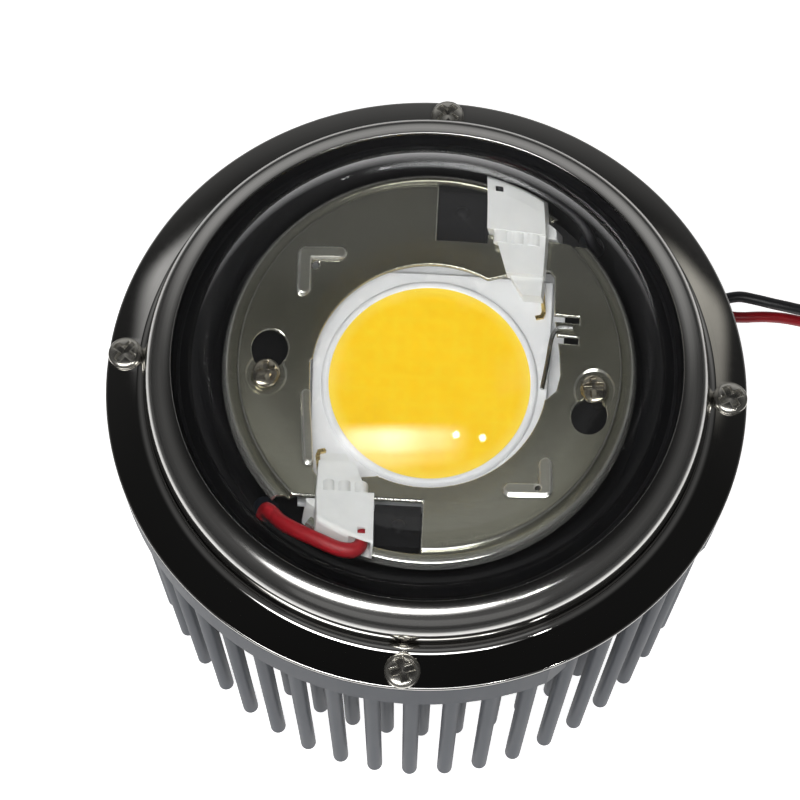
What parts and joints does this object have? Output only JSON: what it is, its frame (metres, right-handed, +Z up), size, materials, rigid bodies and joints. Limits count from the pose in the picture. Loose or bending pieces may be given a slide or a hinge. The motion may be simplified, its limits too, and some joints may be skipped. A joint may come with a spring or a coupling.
{
  "type": "cob led light engine",
  "caption": "Round chip-on-board LED light engine: white LED in a stamped holder on a forged pin-fin heat sink, under a convex glass lens clamped by a polished bezel ring, with two leads.",
  "frame": {"origin": "on the plane of the pin tips, on the heat sink's axis", "axes": "+Z up the axis, from the pin tips to the lens; two of the flange screws on X and two on Y; the leads leave towards +X"},
  "size_m": [0.1871, 0.12, 0.1052],
  "materials": {
    "anodised_aluminium": "fine bead-blasted, dark grey anodised",
    "thermal_pad": "matt white silicone",
    "white_ceramic": "white glazed ceramic",
    "white_silicone": "satin white silicone",
    "chip": "polished semiconductor",
    "phosphor": "satin yellow phosphor in silicone",
    "plated_sheet": "satin dark nickel plating",
    "small_screw": "yellowish nickel plating",
    "white_nylon": "satin moulded nylon",
    "brass": "bright rolled strip",
    "spring_steel": "drawn wire",
    "black_plastic": "satin black",
    "black_rubber": "matt moulded rubber",
    "lens_glass": "clear pressed glass, polished",
    "polished_steel": "mirror-polished stainless sheet",
    "nickel_screw": "bright nickel plating",
    "red_insulation": "satin silicone",
    "black_insulation": "satin silicone",
    "tinned_copper": "tinned strands"
  },
  "bodies": {
    "root": {"heat_sink": "anodised_aluminium", "thermal_pad": "thermal_pad", "cob_substrate": "white_ceramic", "cob_dam": "white_silicone", "led_chips": "chip", "phosphor_disc": "phosphor", "holder_plate": "plated_sheet", "holder_screws": "small_screw", "terminal_block_pos": "white_nylon", "terminal_block_neg": "white_nylon", "contact_spring_pos": "brass", "contact_spring_neg": "brass", "spring_clip": "spring_steel", "insulator_tab_pos": "black_plastic", "insulator_tab_neg": "black_plastic", "lens_gasket": "black_rubber", "glass_lens": "lens_glass", "bezel_ring": "polished_steel", "bezel_screws": "nickel_screw", "red_lead_inner": "red_insulation", "black_lead_inner": "black_insulation", "red_lead": "red_insulation", "black_lead": "black_insulation", "red_lead_coil": "red_insulation", "black_lead_coil": "black_insulation", "red_lead_end": "tinned_copper", "black_lead_end": "tinned_copper", "lead_tie": "black_plastic"}
  },
  "joints": []
}
